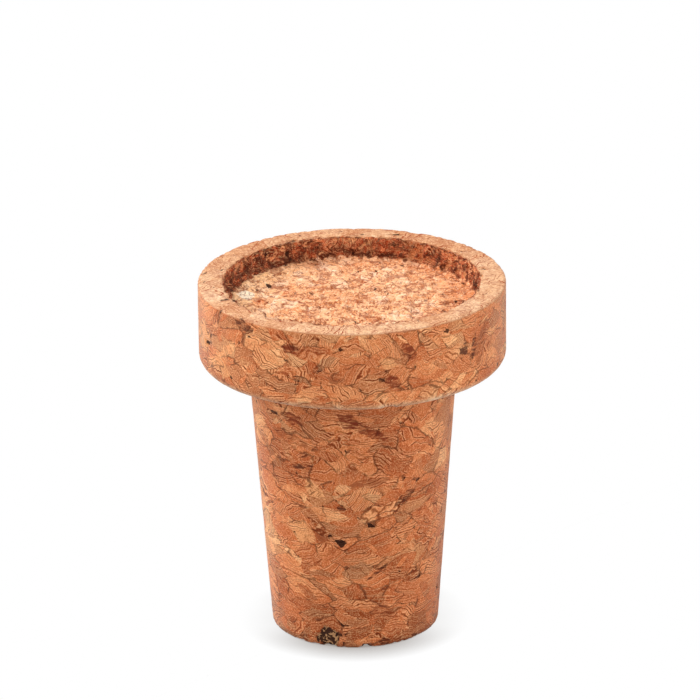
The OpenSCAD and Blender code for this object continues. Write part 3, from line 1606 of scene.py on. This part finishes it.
    def build(self, material: bpy.types.Material) -> bpy.types.Object:
        """Turn the section into a closed mesh.

        Args:
            material: The cork's finish.

        Returns:
            The stopper, at the origin.
        """
        points = [(r * MM, 0.0, z * MM) for r, z in self.section()]
        section = bpy.data.meshes.new("cork_section")
        section.from_pydata(points, [(k, k + 1) for k in range(len(points) - 1)], [])
        piece = bpy.data.objects.new("cork_body", section)
        bpy.context.scene.collection.objects.link(piece)
        modifier = piece.modifiers.new("turning", "NODES")
        modifier.node_group, names = self.turning()
        inputs = {"Steps Around": self.steps_around, "Finish": material} | self.relief.depths()
        for name, value in inputs.items():
            modifier[names[name]] = value
        depsgraph = bpy.context.evaluated_depsgraph_get()
        made = bpy.data.meshes.new_from_object(piece.evaluated_get(depsgraph))
        piece.modifiers.clear()
        piece.data = made
        bpy.data.meshes.remove(section)
        shell = bmesh.new()
        shell.from_mesh(made)
        bmesh.ops.remove_doubles(shell, verts=shell.verts, dist=self.double_reach * MM)
        bmesh.ops.recalc_face_normals(shell, faces=shell.faces)
        shell.to_mesh(made)
        shell.free()
        return piece

    def dress(self) -> bpy.types.Material:
        """The cork's finish.

        Returns:
            A material that reads the piece's own coordinates.
        """
        material = bpy.data.materials.new("pressed_cork")
        material.use_nodes = True
        CorkPainter(NodeSheet(material.node_tree), self).paint()
        return material


@dataclass(frozen=True)
class SoftBox:
    """A large square lamp that faces the stopper: degrees, metres and watts."""

    name: str
    azimuth: float
    elevation: float
    distance: float
    side: float
    power: float


@dataclass
class Studio:
    """Floor, light tent, lamps and the camera as fitted to the photograph, with lengths in millimetres."""

    aim: Triple = (0.0, 0.0, 18.43)
    elevation: float = 21.795
    distance: float = 563.2
    focal_px: float = 5732.5
    aim_px: tuple[float, float] = (352.54, 442.62)
    roll: float = -0.64
    sensor: float = 36.0
    clip: tuple[float, float] = (10.0, 20000.0)
    tent_front: float = 0.36
    tent_left: float = 1.50
    tent_back: float = 0.36
    tent_across: Step = Step(-0.9, 0.6)
    tent_away: Step = Step(-0.4, 0.9)
    floor_reach: float = 4000.0
    floor_bounce: float = 0.45
    shadow: Colour = srgb(150, 140, 133)
    shadow_side: float = 0.3
    shadow_side_step: Step = Step(2.0, 8.0)
    shadow_reach: float = 3.4
    shadow_lean: Triple = (-0.05, 0.45, 0.89)
    shadow_samples: int = 12
    boxes: tuple[SoftBox, ...] = (
        SoftBox("lamp_front", -8.0, 20.0, 0.70, 0.36, 1.70),
        SoftBox("lamp_above", 0.0, 78.0, 0.60, 0.50, 1.00),
        SoftBox("lamp_left", -100.0, 38.0, 0.60, 0.50, 4.1),
        SoftBox("lamp_right", 75.0, 22.0, 0.60, 0.50, 2.45),
    )

    @staticmethod
    def toward(azimuth: float, elevation: float) -> Vector:
        """Direction from the stopper, where azimuth 0 is the camera's side and 90 its right."""
        a, e = math.radians(azimuth), math.radians(elevation)
        return Vector((math.sin(a) * math.cos(e), -math.cos(a) * math.cos(e), math.sin(e)))

    @staticmethod
    def seen(sheet: NodeSheet) -> Field:
        """Tell what the camera sees from what only lights the stopper.

        Args:
            sheet: The node tree to write on.

        Returns:
            1 where the camera sees a surface itself or in a reflection, and 0 for soft light.
        """
        path = sheet.node("ShaderNodeLightPath")
        camera, glossy, clear = (
            sheet.out(path, f"Is {kind} Ray") for kind in ("Camera", "Glossy", "Transmission")
        )
        return sheet.maths("MAXIMUM", camera, sheet.maths("MAXIMUM", glossy, clear))

    def floor_finish(self) -> bpy.types.Material:
        """Plain white, with the stopper's soft shadow close to where it stands.

        Returns:
            The floor's material.
        """
        material = bpy.data.materials.new("white_floor")
        material.use_nodes = True
        sheet = NodeSheet(material.node_tree)
        matte = sheet.node("ShaderNodeBsdfDiffuse", None, {"Color": (*(self.floor_bounce,) * 3, 1.0)})
        closeness = sheet.node(
            "ShaderNodeAmbientOcclusion", {"samples": self.shadow_samples},
            {"Distance": self.shadow_reach * MM, "Normal": sheet.join(*self.shadow_lean)},
        )
        _, y, _ = sheet.split(sheet.out(sheet.node("ShaderNodeTexCoord"), "Object") / MM)
        aside = sheet.ramp(sheet.maths("ABSOLUTE", y), self.shadow_side_step)
        shown = sheet.blend(aside, self.shadow_side, 1.0)
        share = 1.0 - (1.0 - sheet.out(closeness, "AO")) * shown
        white = sheet.tint(share, self.shadow, WHITE)
        glow = sheet.node("ShaderNodeEmission", None, {"Color": white, "Strength": 1.0})
        mixed = sheet.node(
            "ShaderNodeMixShader", None, {0: self.seen(sheet), 1: sheet.out(matte), 2: sheet.out(glow)}
        )
        sheet.node("ShaderNodeOutputMaterial", None, {"Surface": sheet.out(mixed)})
        return material

    def lay_floor(self) -> None:
        """A plain floor that keeps the stopper's shadow."""
        mesh = bpy.data.meshes.new("floor")
        reach = self.floor_reach * MM
        corners = [(-reach, -reach, 0), (reach, -reach, 0), (reach, reach, 0), (-reach, reach, 0)]
        mesh.from_pydata(corners, [], [(0, 1, 2, 3)])
        mesh.materials.append(self.floor_finish())
        floor = bpy.data.objects.new("floor", mesh)
        bpy.context.scene.collection.objects.link(floor)

    def hang_tent(self) -> None:
        """The white tent around the stopper, seen as white and lighting it softly."""
        world = bpy.data.worlds.new("light_tent")
        bpy.context.scene.world = world
        world.use_nodes = True
        sheet = NodeSheet(world.node_tree)
        side, away, _ = sheet.split(sheet.out(sheet.node("ShaderNodeTexCoord"), "Generated"))
        back = sheet.blend(sheet.ramp(side, self.tent_across), self.tent_left, self.tent_back)
        soft = sheet.blend(sheet.ramp(away, self.tent_away), self.tent_front, back)
        strength = sheet.blend(self.seen(sheet), soft, 1.0)
        light = sheet.node("ShaderNodeBackground", None, {"Color": WHITE, "Strength": strength})
        sheet.node("ShaderNodeOutputWorld", None, {"Surface": sheet.out(light)})

    def set_lamps(self) -> None:
        """The soft boxes."""
        for box in self.boxes:
            lamp = bpy.data.lights.new(box.name, "AREA")
            lamp.shape = "SQUARE"
            lamp.size = box.side
            lamp.energy = box.power
            holder = bpy.data.objects.new(box.name, lamp)
            back = self.toward(box.azimuth, box.elevation)
            holder.location = Vector(self.aim) * MM + back * box.distance
            holder.rotation_mode = "QUATERNION"
            holder.rotation_quaternion = (-back).to_track_quat("-Z", "Y")
            holder.visible_camera = False
            bpy.context.scene.collection.objects.link(holder)

    def set_camera(self) -> None:
        """The camera, aimed so that the stopper stands where the picture has it."""
        data = bpy.data.cameras.new("camera")
        data.sensor_width = self.sensor
        data.lens = self.focal_px / IMAGE_SIDE * self.sensor
        data.clip_start, data.clip_end = (end * MM for end in self.clip)
        camera = bpy.data.objects.new("camera", data)
        back = self.toward(0.0, self.elevation)
        right = Vector((1.0, 0.0, 0.0))
        up = back.cross(right)
        axes = Matrix((right, up, back)).transposed()
        # Pan and tilt bring the aim to its pixel
        middle = IMAGE_SIDE / 2
        pan = math.atan((self.aim_px[0] - middle) / self.focal_px)
        tilt = math.atan((self.aim_px[1] - middle) / self.focal_px)
        turn = Euler((tilt, pan, 0.0)).to_matrix() @ Matrix.Rotation(math.radians(self.roll), 3, "Z")
        camera.location = Vector(self.aim) * MM + back * (self.distance * MM)
        camera.rotation_mode = "QUATERNION"
        camera.rotation_quaternion = (axes @ turn).to_quaternion()
        bpy.context.scene.collection.objects.link(camera)
        bpy.context.scene.camera = camera

    def build(self) -> None:
        """Set up everything around the stopper."""
        bpy.context.scene.view_settings.view_transform = "Standard"
        self.lay_floor()
        self.hang_tent()
        self.set_lamps()
        self.set_camera()


def report(piece: bpy.types.Object) -> None:
    """Log one piece's name, triangles and size.

    Args:
        piece: The finished piece.
    """
    triangles = sum(len(face.vertices) - 2 for face in piece.data.polygons)
    size = ", ".join(f"{side / MM:.2f}" for side in piece.dimensions)
    LOG.info("%s: %d triangles, %s mm", piece.name, triangles, size)


def main() -> None:
    """Build the stopper, dress it, light it and note its size."""
    logging.basicConfig(level=logging.INFO, format="%(name)s: %(message)s")
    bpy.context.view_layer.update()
    stopper = CorkStopper()
    piece = stopper.build(stopper.dress())
    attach(piece, "root")
    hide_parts("stopper")
    report(piece)
    Studio().build()


if __name__ == "__main__":
    main()
